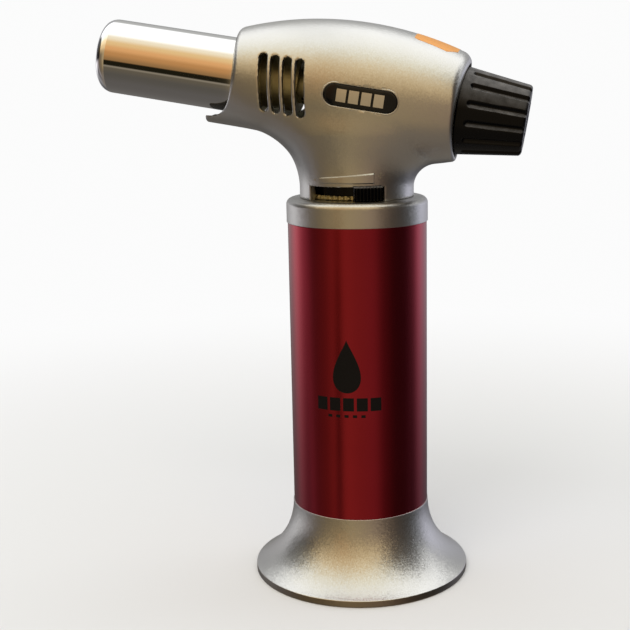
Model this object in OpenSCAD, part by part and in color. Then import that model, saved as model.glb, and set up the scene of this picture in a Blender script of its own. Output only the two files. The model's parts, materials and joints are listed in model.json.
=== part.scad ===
// Butane torch for jewellery work: flared foot, sleeved fuel tank, pistol-like head with a
// chromed flame tube, a ribbed flow lever in the neck and a push-and-turn knob at the rear.
// Frame: +Z up, origin at the centre of the foot's underside, flame tube towards -X,
// knob towards +X, flow window towards -Y. Millimetres.

/* [Foot] */
// Radius of the foot's rim
foot_r = 31.8; // [31:0.1:33]
// Height of the foot's plain rim
foot_rim_h = 2.1; // [1.5:0.1:3]
// Height of the foot, where the red sleeve starts
foot_h = 21.5; // [20.5:0.1:22]
// Wall of the foot
foot_wall = 1.8; // [1.5:0.1:2]

/* [Tank] */
// Outer radius of the red sleeve
sleeve_r = 20; // [20:0.1:20.2]
// Wall of the red sleeve
sleeve_wall = 0.8; // [0.6:0.1:0.8]
// Height at which the sleeve ends and the collar starts
sleeve_top = 105.1; // [104.5:0.1:105.5]
// Outer radius of the collar
collar_r = 20.3; // [20.2:0.1:20.6]
// Height of the collar's flat top
collar_top = 112; // [111.8:0.1:112]
// Radius of the collar's shoulder
collar_round = 1.8; // [1:0.1:2.2]

/* [Head] */
// Height at which the head's axis crosses the tank's axis
head_z = 140.9; // [140.5:0.1:141.5]
// Tilt of the head's axis, front end up
head_tilt = 9.35; // [9:0.05:9.7]
// Largest radius of the barrel
barrel_r = 19.9; // [19.7:0.1:20.2]
// Radius of the arc that the barrel's outline follows
barrel_arc = 100; // [95:1:110]
// Front end of the barrel along the head's axis
barrel_front = -35.4; // [-36:0.1:-35]
// Rear end of the barrel along the head's axis
barrel_back = 31; // [30.5:0.1:31.3]
// Wall of the casing
shell_wall = 2; // [1.8:0.1:2]
// Radius of the neck
neck_r = 16.3; // [16.2:0.1:16.5]
// Reach of the chin under the flame tube
chin_front = -41.5; // [-42:0.1:-40]

/* [Flow window] */
// Left edge of the window, in degrees from -Y towards +X
window_a0 = -43; // [-44:1:-42]
// Right edge of the window, in degrees
window_a1 = 38; // [38:1:41]
// Upper edge of the window
window_z1 = 116.1; // [116:0.1:116.3]
// Middle of the lever's finger pad, in degrees
pad_angle = 21; // [20:0.25:21.5]
// Width of the lever's finger pad, in degrees
pad_span = 28.5; // [26:0.5:29]

/* [Flame tube] */
// Outer radius of the flame tube
tube_r = 10.5; // [10.3:0.1:10.5]
// Wall of the flame tube
tube_wall = 0.7; // [0.5:0.1:0.7]
// Mouth of the flame tube along the head's axis
tube_front = -74.4; // [-75:0.1:-72]
// Rear end of the flame tube along the head's axis
tube_back = -26.2; // [-27:0.1:-26.2]
// Outer radius of the burner tube
burner_r = 7.6; // [7.3:0.1:7.6]

/* [Knob] */
// Radius of the knob's wide end
knob_r0 = 12.3; // [12:0.1:12.4]
// Radius of the knob's narrow end
knob_r1 = 9.7; // [9.4:0.1:10]
// Wide end of the knob along the head's axis
knob_s0 = 29.6; // [29.6:0.1:30]
// Narrow end of the knob along the head's axis
knob_s1 = 48.6; // [48:0.1:49]
// Number of flutes around the knob
knob_flutes = 14; // [10:1:18]
// Radius of a flute
flute_r = 0.65; // [0.4:0.05:0.8]

/* [Badge and vents] */
// Length of the badge
badge_l = 20; // [18:0.5:21]
// Height of the badge
badge_h = 5.8; // [5:0.1:6.2]
// Middle of the badge in X
badge_x = 4.7; // [3.5:0.1:5]
// Width of a vent slot
vent_w = 2.5; // [2.2:0.1:2.6]
// Length of a vent slot
vent_l = 15.6; // [14:0.1:16]
// Pitch of the vent slots in X
vent_pitch = 3.55; // [3.3:0.05:3.6]

/* [Hidden] */
$fn = 96;
fit = 0.05;                          // radial gap of a snug fit

// Foot: the flare follows a concave arc from the sleeve out to the rim
flare_reach = foot_r - sleeve_r - 0.5;
flare_drop = foot_h - foot_rim_h;
flare_r = (flare_reach * flare_reach + flare_drop * flare_drop) / (2 * flare_reach);
flare_cr = sleeve_r + 0.2 + flare_r;
flare_end = asin(flare_drop / flare_r);

// Tank, from the outside in
spigot_r = sleeve_r - sleeve_wall - fit;
tank_r = 18.2;
tank_in = 16.8;
tank_z0 = 12;
tank_floor = 14;
tank_z1 = 100;
lid_z1 = 102;
boss_r = 9;

// Valves
valve_r = 4.5;
valve_z0 = 95;
valve_z1 = 125;
outlet_z = valve_z1 - 1.2;           // height of the side outlet to the hose
chamber_r = 3;
chamber_z0 = 108;
chamber_z1 = 116;
stem_r = 1.3;
stem_collar_z = 127.8;
refill_z0 = 7.5;
refill_z1 = 18;

// Valve housing and its fork lever
housing_r = 8;
flange_r = 13;
flange_z0 = 117.5;
flange_z1 = 120;
housing_z1 = 121;
housing_bore = 11.4;                  // room around the housing's ears inside the neck
pivot_x = -7.5;
pivot_z = 126.5;
pin_r = 1;
fork_z0 = 126;
fork_z1 = 127.2;

// Ring and lever of the flow adjuster
ring_r = 12.9;
ring_teeth = 48;
ring_z0 = 112.25;
ring_z1 = 113.3;

// Burner, along the head's axis
lip_r = 8.1;                         // inner radius of the flame tube's rolled lip
lip_s = 3.2;                         // length of the lip's curve along the axis
burner_s0 = -60;
burner_s1 = -15.5;
burner_wall = 0.8;
mixer_r = 5;
hose_r = 1.1;
jet_s0 = -10;
jet_s1 = -4;
electrode_h = 8.7;                   // height of the electrode above the head's axis

// Igniter and push carriage, along the head's axis
piezo_s0 = 2;
piezo_s1 = 19;
plate_s0 = 25.2;                     // front face of the carriage's plate
finger_s0 = 2.4;                     // front end of the carriage's finger
bore_r = 12.8;                       // rear opening of the casing
bore_s0 = 24;

// Casing
cavity_s0 = -26;
mid_x = 0.5;                         // widest place of the barrel along the head's axis
front_web_r = 13.4;
front_web_x = 30.4;
front_web_z = 116.6;
back_web_r = 6.5;
back_web_x = 22.4;
back_web_z = 114.9;
neck_top = 131.5;
web_half = 6;                        // half-width of the webs between neck and barrel
label_s0 = 13.5;
label_s1 = 27.5;
badge_up = -0.1;                     // middle of the badge above the head's axis
vent_x = -17.4;                      // middle of the four slots
vent_z = 143.7;
vent_step = 0.6;                     // how much lower each slot sits than the one in front

// Screws of the casing: [along the axis, above the axis]
SCREWS = [[-4, 13.5], [19, -13], [-20.5, -12.8]];
screw_r = 1.2;
screw_head_r = 2.2;
pillar_r = 2.6;

// The barrel's radius at a place along the head's axis
function barrel(s) = barrel_r - barrel_arc + sqrt(barrel_arc * barrel_arc - (s - mid_x) * (s - mid_x));
// Half the length of the pillar around a screw, which ends under the casing's skin
function pillar_half(p) = sqrt(pow(barrel(p[0]), 2) - pow(abs(p[1]) + pillar_r, 2)) - 0.3;
// Points of an arc about [x, y] from angle a to angle b
function arc(x, y, r, a, b, n = 12) =
    [for (i = [0:n]) [x + r * cos(a + (b - a) * i / n), y + r * sin(a + (b - a) * i / n)]];
// The barrel's outline, drawn in by an offset, from s0 to s1
function barrel_line(s0, s1, inset, n = 24) =
    [for (i = [0:n]) let (s = s0 + (s1 - s0) * i / n) [barrel(s) - inset, s]];

// Places its children in the head's frame: X along the axis to the rear, Z up from it
module head_frame() {
    translate([0, 0, head_z]) rotate([0, head_tilt, 0]) children();
}

// Turns a profile of [radius, place along the axis] about the head's axis
module turned() {
    head_frame() rotate([0, 90, 0]) rotate_extrude() children();
}

// A plain tube about Z
module tube(r_out, r_in, z0, z1) {
    translate([0, 0, z0]) difference() {
        cylinder(r = r_out, h = z1 - z0);
        translate([0, 0, -1]) cylinder(r = r_in, h = z1 - z0 + 2);
    }
}

// A plain rod along the head's axis
module rod(r, s0, s1) {
    translate([s0, 0, 0]) rotate([0, 90, 0]) cylinder(r = r, h = s1 - s0);
}

// A round tube swept along a list of points, with flat ends
module swept(path, r, sides = 8) {
    last = len(path) - 1;
    rings = [for (i = [0:last])
        let (
            d = path[min(i + 1, last)] - path[max(i - 1, 0)],
            t = d / norm(d),
            ref = abs(t[2]) > 0.9 ? [0, 1, 0] : [0, 0, 1],
            u0 = cross(ref, t),
            u = u0 / norm(u0),
            v = cross(t, u)
        )
        [for (k = [0:sides - 1]) path[i] + r * (cos(360 * k / sides) * u + sin(360 * k / sides) * v)]];
    points = [for (ring = rings) for (p = ring) p];
    walls = [for (i = [0:last - 1]) for (k = [0:sides - 1])
        let (a = i * sides + k, b = i * sides + (k + 1) % sides)
        [a, a + sides, b + sides, b]];
    polyhedron(points, concat(
        [[for (k = [0:sides - 1]) k]],
        walls,
        [[for (k = [sides - 1:-1:0]) last * sides + k]]
    ), convexity = 6);
}

// A coil spring about Z from z0 to z1
module coil(r, wire, z0, z1, turns) {
    steps = turns * 12;
    swept([for (i = [0:steps])
        [r * cos(30 * i), r * sin(30 * i), z0 + wire + (z1 - z0 - 2 * wire) * i / steps]],
        wire, 6);
}

// Points on a smooth curve through four control points
function bezier(p, n = 14) = [for (i = [0:n])
    let (t = i / n, u = 1 - t)
    u * u * u * p[0] + 3 * u * u * t * p[1] + 3 * u * t * t * p[2] + t * t * t * p[3]];

// A sector of a ring about Z, with angles measured from -Y towards +X
module sector(r_in, r_out, z0, z1, a0, a1) {
    translate([0, 0, z0]) rotate([0, 0, a0 - 90]) rotate_extrude(angle = a1 - a0)
        translate([r_in, 0]) square([r_out - r_in, z1 - z0]);
}

// ---- Foot and tank ----

module base_foot() {
    outer = concat(
        [[foot_r - 0.4, 0], [foot_r, 0.4], [foot_r, foot_rim_h - 0.3]],
        arc(flare_cr, foot_h, flare_r, 180 + flare_end, 180, 16),
        [[spigot_r, foot_h], [spigot_r, foot_h + 4]]
    );
    inner = concat(
        [[tank_r + fit, foot_h + 4], [tank_r + fit, tank_z0], [15, tank_z0], [15, tank_z0 - 1.4]],
        [[tank_r, tank_z0 - 1.4]],
        arc(flare_cr, foot_h, flare_r + foot_wall, 180 + flare_end - 26, 180 + flare_end - 1, 8),
        [[foot_r - 2.6, 0]]
    );
    color("silver") rotate_extrude() polygon(concat(outer, inner));
}

module tank_sleeve() {
    color("firebrick") tube(sleeve_r, sleeve_r - sleeve_wall, foot_h, sleeve_top);
}

module fuel_tank() {
    color("whitesmoke") difference() {
        translate([0, 0, tank_z0]) cylinder(r = tank_r, h = tank_z1 - tank_z0);
        translate([0, 0, tank_floor]) cylinder(r = tank_in, h = tank_z1 - tank_floor + 1);
        translate([0, 0, tank_z0 - 1]) cylinder(r = 3.4 + fit, h = 5);
    }
}

module tank_lid() {
    color("gainsboro") rotate_extrude() polygon([
        [valve_r + fit, tank_z1 - 4], [tank_in - fit, tank_z1 - 4], [tank_in - fit, tank_z1 - 3],
        [tank_in - 1.2, tank_z1 - 3], [tank_in - 1.2, tank_z1 - 1.4], [tank_in - fit, tank_z1 - 1.4],
        [tank_in - fit, tank_z1], [tank_r, tank_z1], [tank_r, lid_z1], [boss_r, lid_z1],
        [boss_r, collar_top], [valve_r + fit, collar_top]
    ]);
}

module lid_seal() {
    color("dimgray") rotate_extrude()
        translate([tank_in - 0.65, tank_z1 - 2.2]) circle(r = 0.55, $fn = 24);
}

module tank_collar() {
    color("silver") rotate_extrude() polygon(concat(
        [[boss_r + fit, collar_top], [boss_r + fit, collar_top - 2.2]],
        [[spigot_r - 1.2, collar_top - 2.2], [spigot_r - 1.2, lid_z1 + 0.1], [spigot_r, lid_z1 + 0.1]],
        [[spigot_r, sleeve_top], [collar_r, sleeve_top]],
        arc(collar_r - collar_round, collar_top - collar_round, collar_round, 0, 90, 8)
    ));
}

module pickup_tube() {
    color("ivory") tube(1.6, 1, 18.5, valve_z0);
}

// ---- Refill valve ----

module refill_valve_body() {
    color("goldenrod") rotate_extrude() polygon([
        [2.4, refill_z0], [5, refill_z0], [5, 11.2], [3.4, 11.2], [3.4, refill_z1], [0.8, refill_z1],
        [0.8, refill_z1 - 1], [2.4, refill_z1 - 1], [2.4, 11.7], [1.15, 11.7], [1.15, 10.5], [2.4, 10.5]
    ]);
}

module refill_stem() {
    color("khaki") difference() {
        union() {
            translate([0, 0, 8.3]) cylinder(r = 1.1, h = 5);
            translate([0, 0, 12.4]) cylinder(r = 2.2, h = 0.9);
        }
        translate([0, 0, 8]) cylinder(r = 0.4, h = 6);
    }
}

module refill_spring() {
    color("lightgray") coil(1.6, 0.25, 13.35, 16.95, 4);
}

module refill_seal() {
    color("dimgray") tube(4.9, 3.4 + fit, 11.2, tank_z0);
}

// ---- Gas valve ----

module valve_body() {
    color("goldenrod") difference() {
        rotate_extrude() polygon([
            [1, valve_z0], [1.6, valve_z0], [2.6, valve_z0 + 0.5], [valve_r, valve_z0 + 0.5],
            [valve_r, 103.2], [valve_r - 0.9, 103.2], [valve_r - 0.9, 104.8], [valve_r, 104.8],
            [valve_r, valve_z1], [stem_r + 0.08, valve_z1], [stem_r + 0.08, chamber_z1],
            [chamber_r, chamber_z1], [chamber_r, chamber_z0], [1, chamber_z0]
        ]);
        translate([0, 4, outlet_z]) rotate([-90, 0, 0]) cylinder(r = 0.6, h = 2);
    }
}

module valve_stem() {
    color("khaki") union() {
        translate([0, 0, chamber_z0 + 0.3]) cylinder(r = 2.7, h = 1.4);
        translate([0, 0, chamber_z0 + 0.3])
            cylinder(r = stem_r, h = stem_collar_z + 1.4 - chamber_z0 - 0.3);
        translate([0, 0, stem_collar_z]) cylinder(r = 2.6, h = 1.4);
    }
}

module valve_spring() {
    color("lightgray") coil(2.15, 0.32, chamber_z0 + 1.75, chamber_z1 - 0.05, 5);
}

module valve_seal() {
    color("dimgray") rotate_extrude() translate([valve_r - 0.42, 104]) circle(r = 0.45, $fn = 24);
}

module valve_nut() {
    color("goldenrod") difference() {
        translate([0, 0, housing_z1]) cylinder(r = 6.4, h = 1.6, $fn = 6);
        translate([0, 0, housing_z1 - 1]) cylinder(r = valve_r + fit, h = 5);
    }
}

module valve_housing() {
    ear_y = 3.5;
    color("whitesmoke") difference() {
        union() {
            translate([0, 0, collar_top]) cylinder(r = housing_r, h = housing_z1 - collar_top);
            translate([0, 0, flange_z0]) cylinder(r = flange_r, h = flange_z1 - flange_z0);
            for (side = [-1, 1])
                translate([pivot_x - 2.2, side * (ear_y + 1) - 1, flange_z1 - 1])
                    cube([4.4, 2, pivot_z + 2 - flange_z1 + 1]);
        }
        translate([0, 0, collar_top - 1]) cylinder(r = valve_r + fit, h = 12);
        translate([pivot_x, -8, pivot_z]) rotate([-90, 0, 0])
            cylinder(r = pin_r + 0.02, h = 16, $fn = 48);
    }
}

module valve_lever() {
    arm_dx = 4;                      // how far the upright arm leans towards the knob
    color("whitesmoke") difference() {
        union() {
            translate([pivot_x, -3.2, pivot_z]) rotate([-90, 0, 0]) cylinder(r = 2, h = 6.4, $fn = 48);
            translate([pivot_x, -3.2, fork_z0]) cube([2.6 - pivot_x, 6.4, fork_z1 - fork_z0]);
            translate([0, 1.5, 0]) rotate([90, 0, 0]) linear_extrude(3) polygon([
                [pivot_x - 1.2, pivot_z + 1], [pivot_x + 1.6, pivot_z + 0.5],
                [pivot_x + arm_dx + 0.7, 135], [pivot_x + arm_dx - 0.9, 135]
            ]);
        }
        translate([-2, -1.7, fork_z0 - 1]) cube([6, 3.4, 4]);
        translate([pivot_x, -4, pivot_z]) rotate([-90, 0, 0])
            cylinder(r = pin_r + 0.05, h = 8, $fn = 48);
    }
}

module lever_pin() {
    color("lightgray") translate([pivot_x, -5.6, pivot_z]) rotate([-90, 0, 0])
        cylinder(r = pin_r, h = 11.2, $fn = 48);
}

// ---- Flow adjuster ----

module adjust_ring() {
    color("goldenrod") union() {
        tube(ring_r, housing_r + fit, ring_z0, ring_z1);
        for (i = [0:ring_teeth - 1])
            rotate([0, 0, 360 * i / ring_teeth]) translate([ring_r - 0.3, -0.45, ring_z0])
                cube([1.1, 0.9, ring_z1 - ring_z0]);
    }
}

module adjust_lever() {
    pad_in = neck_r + 0.15;
    pad_out = neck_r + 1.1;
    ribs = 9;
    half = pad_span / 2;
    color("black") union() {
        tube(ring_r - 0.2, housing_r + fit, ring_z1, window_z1 - 0.3);
        sector(ring_r - 0.6, pad_in + 0.3, ring_z1, window_z1 - 0.3,
            pad_angle - half + 2, pad_angle + half - 2);
        sector(pad_in, pad_out, collar_top + 0.15, window_z1 + 0.2, pad_angle - half, pad_angle + half);
        for (i = [0:ribs - 1])
            rotate([0, 0, pad_angle - half + 1.6 + (pad_span - 3.2) * i / (ribs - 1)])
                translate([0, -pad_out, collar_top + 0.15])
                    cylinder(r = 0.42, h = window_z1 + 0.05 - collar_top, $fn = 24);
    }
}

// ---- Gas path and burner ----

module gas_hose() {
    bow_y = 15;                      // how far the hose bows out to the far side
    port_s = jet_s0 + 4.8;           // where it meets the jet holder, along the head's axis
    port = [port_s * cos(head_tilt), 3.6, head_z - port_s * sin(head_tilt)];
    color("dimgray") swept(bezier([
        [0, valve_r + 0.1, outlet_z], [0, bow_y, outlet_z], [port[0], bow_y, port[2]], port
    ], 16), hose_r, 8);
}

module jet_holder() {
    color("goldenrod") head_frame() difference() {
        union() {
            rod(3.5, jet_s0, jet_s1);
            rod(mixer_r, jet_s0 + 2.4, jet_s0 + 3.6);
        }
        rod(0.8, jet_s0 - 1, jet_s1 - 2);
    }
}

module gas_jet() {
    color("goldenrod") head_frame() difference() {
        rod(2, jet_s0 - 3, jet_s0);
        rod(0.4, jet_s0 - 4, jet_s0 + 1);
    }
}

module mixing_tube() {
    color("goldenrod") head_frame() difference() {
        rod(mixer_r, burner_s1 - 1.5, jet_s0 + 2.4);
        rod(mixer_r - 1, burner_s1 - 3, jet_s0 + 3);
        for (a = [0:90:270])
            translate([jet_s0 - 3.2, 0, 0]) rotate([a + 45, 0, 0])
                cylinder(r = 1.3, h = mixer_r + 1, $fn = 32);
    }
}

module burner_tube() {
    color("darkgoldenrod") turned() polygon([
        [burner_r - burner_wall, burner_s0], [burner_r, burner_s0], [burner_r, burner_s1],
        [mixer_r + fit, burner_s1], [mixer_r + fit, burner_s1 - 1.5],
        [burner_r - burner_wall, burner_s1 - 1.5]
    ]);
}

module flame_holder() {
    holder_r = burner_r - burner_wall - fit;
    color("gray") head_frame() difference() {
        rod(holder_r, burner_s0 + 0.4, burner_s0 + 3.4);
        rod(0.8, burner_s0 - 1, burner_s0 + 5);
        for (i = [0:5])
            rotate([60 * i, 0, 0]) translate([0, 0, 2.5]) rod(0.7, burner_s0 - 1, burner_s0 + 5);
        for (i = [0:11])
            rotate([30 * i, 0, 0]) translate([0, 0, 4.9]) rod(0.7, burner_s0 - 1, burner_s0 + 5);
    }
}

module tube_spacer() {
    color("goldenrod") head_frame() difference() {
        rod(tube_r - tube_wall - fit, tube_back - 2.2, tube_back - 0.4);
        rod(burner_r + fit, tube_back - 3, tube_back + 1);
        translate([0, 0, electrode_h]) rod(0.9 + 0.1, tube_back - 3, tube_back + 1);
    }
}

module flame_tube() {
    lip0 = tube_front + lip_s;
    function lip_curve(inset, a0, a1) = [for (k = [0:8])
        let (a = a0 + (a1 - a0) * k / 8)
        [lip_r + (tube_r - lip_r - inset) * cos(a), lip0 + (lip_s - inset) * sin(a)]];
    color("white") turned() polygon(concat(
        [[tube_r, tube_back]], lip_curve(0, 0, -90),
        lip_curve(tube_wall, -90, 0), [[tube_r - tube_wall, tube_back]]
    ));
}

module electrode() {
    color("lightgray") head_frame() translate([0, 0, electrode_h]) rod(0.4, -63, -13.5);
}

module electrode_insulator() {
    color("ivory") head_frame() translate([0, 0, electrode_h]) difference() {
        rod(0.9, -56, -14.5);
        rod(0.42, -57, -13);
    }
}

module ignition_lead() {
    start = [-13.5, 0, electrode_h];
    stop = [piezo_s0 - 0.1, -2, 2];
    color("black") head_frame()
        swept(bezier([start, start + [6, -1, 0.5], stop + [-5, 0, 0], stop], 12), 0.55, 8);
}

// ---- Igniter and knob ----

module piezo_body() {
    color("black") head_frame() difference() {
        translate([piezo_s0, -3.5, -4.5]) cube([piezo_s1 - piezo_s0, 7, 9]);
        translate([8.5, -2.3, -2.8]) cube([piezo_s1, 4.6, 5.6]);
    }
}

module piezo_plunger() {
    color("ivory") head_frame() translate([14, -2.1, -2.6]) cube([plate_s0 - 0.2 - 14, 4.2, 5.2]);
}

module knob_stem() {
    color("black") head_frame() difference() {
        union() {
            rod(9, plate_s0, plate_s0 + 2);
            rod(4, plate_s0, knob_s1 - 3);
            translate([finger_s0, -1.8, -7.4]) cube([plate_s0 - finger_s0 + 1, 3.6, 2.2]);
        }
        rotate([0, 90, 0]) rotate_extrude() translate([3.4, knob_s1 - 5.2]) square([1.6, 0.9]);
    }
}

module knob_spring() {
    color("lightgray") head_frame() rotate([0, 90, 0])
        coil(4.6, 0.45, piezo_s1 + 0.1, plate_s0 - 0.05, 3);
}

module knob_clip() {
    color("lightgray") head_frame() difference() {
        rod(5.2, knob_s1 - 5.1, knob_s1 - 4.4);
        rod(3.45, knob_s1 - 6, knob_s1 - 4);
        translate([knob_s1 - 6, -2.4, -7]) cube([3, 4.8, 7]);
    }
}

module control_knob() {
    round_r = 0.9;
    hub_in = 4 + fit;
    slope = atan((knob_r0 - knob_r1) / (knob_s1 - knob_s0));
    flute_s = knob_s0 + 3.5;
    color("black") difference() {
        turned() polygon(concat(
            [[hub_in, knob_s0 + 1], [6, knob_s0 + 1], [6, knob_s1 - 6]],
            [[knob_r1 - 1.8, knob_s1 - 6]],
            [[knob_r0 - 1.8, knob_s0], [knob_r0 - 0.3, knob_s0], [knob_r0, knob_s0 + 0.3]],
            arc(knob_r1 - round_r, knob_s1 - round_r, round_r, 0, 90, 6),
            [[0, knob_s1], [0, knob_s1 - 2.5], [6, knob_s1 - 2.5], [6, knob_s1 - 5.4]],
            [[hub_in, knob_s1 - 5.4]]
        ));
        head_frame() for (i = [0:knob_flutes - 1])
            rotate([360 * i / knob_flutes, 0, 0])
                translate([flute_s, 0, knob_r0 - (flute_s - knob_s0) * tan(slope) + 0.1])
                    rotate([0, 90 + slope, 0])
                        cylinder(r = flute_r, h = knob_s1 - flute_s + 3, $fn = 24);
    }
}

// ---- Casing ----

// The solid outside of the casing
module casing_outside() {
    turned() polygon(concat(
        [[0, barrel_front], [barrel(barrel_front) - 2, barrel_front]],
        arc(barrel(barrel_front + 2) - 2, barrel_front + 2, 2, -90, 0, 6),
        barrel_line(barrel_front + 3, barrel_back - 2, 0),
        arc(barrel(barrel_back - 2) - 2, barrel_back - 2, 2, 0, 90, 6),
        [[0, barrel_back]]
    ));
    translate([0, 0, collar_top]) cylinder(r = neck_r, h = neck_top - collar_top);
    web(-1, front_web_x, front_web_z, front_web_r, 6);
    web(1, back_web_x, back_web_z, back_web_r, 6);
    chin();
}

// The web that leads from the neck up into the barrel with a concave underside
module web(side, x, z, r, rise) {
    translate([0, web_half, 0]) rotate([90, 0, 0]) linear_extrude(2 * web_half)
        mirror([side < 0 ? 1 : 0, 0]) polygon(concat(
            [[neck_r - 4, z], [x - r, z]],
            arc(x, z, r, 180, 90, 12),
            [[x, z + r + 1], [neck_r - 4, z + r + rise]]
        ));
}

// The lip that runs out under the flame tube
module chin() {
    r_in = tube_r + 1.2;
    head_frame() rotate([0, 90, 0]) rotate([0, 0, -28]) rotate_extrude(angle = 56) polygon([
        [r_in, barrel_front + 4], [r_in, barrel_front], [r_in + 0.6, chin_front],
        [r_in + 1.4, chin_front], [14.4, chin_front + 4], [14.5, barrel_front + 4]
    ]);
}

// Everything that is taken out of both halves
module casing_hollow() {
    // barrel's cavity, flame-tube seat and knob's bore
    turned() polygon(concat(
        [[0, cavity_s0]], barrel_line(cavity_s0, bore_s0, shell_wall), [[0, bore_s0]]
    ));
    head_frame() rod(tube_r + fit, barrel_front - 1, cavity_s0 + 1);
    head_frame() rod(bore_r, bore_s0 - 1, barrel_back + 1);
    // neck's bore below and above the shelf that holds the valve housing's flange
    translate([0, 0, collar_top - 1])
        cylinder(r = neck_r - shell_wall, h = flange_z0 - 0.9 - collar_top + 1);
    translate([0, 0, flange_z0 - 0.1]) cylinder(r = flange_r + 0.1, h = flange_z1 - flange_z0 + 0.2);
    translate([0, 0, collar_top]) cylinder(r = housing_bore, h = 20);
    translate([0, 0, flange_z1 + 1.5]) cylinder(r = neck_r - shell_wall, h = 8);
    for (side = [-1, 1]) {
        vents(side);
        badge_seat(side, 0.1, 1);
    }
}

// Four upright vent slots in one side
module vents(side) {
    for (i = [0:3])
        translate([vent_x + (i - 1.5) * vent_pitch, side * 15, vent_z - (i - 1.5) * vent_step])
            rotate([90, 0, 0]) {
                translate([-vent_w / 2, -(vent_l - vent_w) / 2, -9])
                    cube([vent_w, vent_l - vent_w, 18]);
                for (end = [-1, 1])
                    translate([0, end * (vent_l - vent_w) / 2, -9])
                        cylinder(r = vent_w / 2, h = 18, $fn = 32);
            }
}

// A pill-shaped slug through one side, cut to lie under the barrel's surface
module badge_seat(side, grow, depth) {
    r = badge_h / 2 + grow;
    run = (badge_l - badge_h) / 2;
    intersection() {
        head_frame() translate([badge_x, side * 15, badge_up]) rotate([90, 0, 0]) {
            translate([-run, -r, -8]) cube([2 * run, 2 * r, 16]);
            for (end = [-1, 1])
                translate([end * run, 0, -8]) cylinder(r = r, h = 16, $fn = 48);
        }
        turned() polygon(concat(
            [[14, -15]],
            [for (p = barrel_line(-15, 25, 0)) [p[0] + (grow > 0 ? 2 : -0.15), p[1]]],
            [[14, 25]],
            [for (p = barrel_line(25, -15, depth)) p]
        ));
    }
}

// Screw pillars, which the bosses of the two halves share
module pillars() {
    head_frame() for (p = SCREWS)
        translate([p[0], -pillar_half(p), p[1]]) rotate([-90, 0, 0])
            cylinder(r = pillar_r, h = 2 * pillar_half(p), $fn = 48);
}

module screw_holes() {
    head_frame() for (p = SCREWS) {
        translate([p[0], 2 - pillar_half(p), p[1]]) rotate([-90, 0, 0])
            cylinder(r = screw_r + 0.02, h = 40, $fn = 32);
        translate([p[0], pillar_half(p) - 1.5, p[1]]) rotate([-90, 0, 0])
            cylinder(r = screw_head_r + 0.1, h = 20, $fn = 32);
    }
}

// One half of the casing: side -1 is the near half, with the window
module head_shell(side) {
    difference() {
        union() {
            difference() {
                casing_outside();
                casing_hollow();
            }
            pillars();
        }
        screw_holes();
        translate([-60, side > 0 ? -60 : 0, 60]) cube([120, 60, 120]);
        if (side < 0) sector(ring_r, neck_r + 2, collar_top - 1, window_z1, window_a0, window_a1);
    }
}

module head_shell_left() {
    color("lightgray") head_shell(-1);
}

module head_shell_right() {
    color("lightgray") head_shell(1);
}

module head_screws() {
    color("gray") head_frame() for (p = SCREWS)
        translate([p[0], 0, p[1]]) rotate([-90, 0, 0]) {
            top = pillar_half(p) - 1.5;
            translate([0, 0, 2.5 - pillar_half(p)])
                cylinder(r = screw_r, h = top + pillar_half(p) - 2.4, $fn = 32);
            difference() {
                translate([0, 0, top]) cylinder(r = screw_head_r, h = 1.5, $fn = 32);
                for (a = [0, 90])
                    rotate([0, 0, a]) translate([-1.3, -0.3, top + 0.8]) cube([2.6, 0.6, 2]);
            }
        }
}

module badge_left() {
    color("black") badge_seat(-1, 0, 0.95);
}

module badge_right() {
    color("black") badge_seat(1, 0, 0.95);
}

module top_label() {
    color("orange") intersection() {
        turned() polygon(concat(
            barrel_line(label_s0 - 1, label_s1 + 1, -0.02, 8),
            barrel_line(label_s1 + 1, label_s0 - 1, -0.2, 8)
        ));
        head_frame() linear_extrude(30) polygon([
            [label_s0, -6.6], [label_s0 + 1, -7.2], [label_s1 - 3, -7.6], [label_s1, -5],
            [label_s1, 5], [label_s1 - 3, 7.6], [label_s0 + 1, 7.2], [label_s0, 6.6]
        ]);
    }
}

base_foot();
tank_sleeve();
fuel_tank();
tank_lid();
lid_seal();
tank_collar();
pickup_tube();
refill_valve_body();
refill_stem();
refill_spring();
refill_seal();
valve_body();
valve_stem();
valve_spring();
valve_seal();
valve_nut();
valve_housing();
valve_lever();
lever_pin();
adjust_ring();
adjust_lever();
gas_hose();
jet_holder();
gas_jet();
mixing_tube();
burner_tube();
flame_holder();
tube_spacer();
flame_tube();
electrode();
electrode_insulator();
ignition_lead();
piezo_body();
piezo_plunger();
knob_stem();
knob_spring();
knob_clip();
control_knob();
head_shell_left();
head_shell_right();
head_screws();
badge_left();
badge_right();
top_label();
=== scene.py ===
"""Looks of the butane torch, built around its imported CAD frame.

Millimetres are used for shapes, and MM turns them into the frame's metres. +Z is up, the origin is
the centre of the foot's underside, the flame tube points to -X and the flow window faces -Y.
"""

import json
import math

import bmesh
import bpy
import numpy as np
import openvdb
from mathutils import Matrix, Vector


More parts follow.
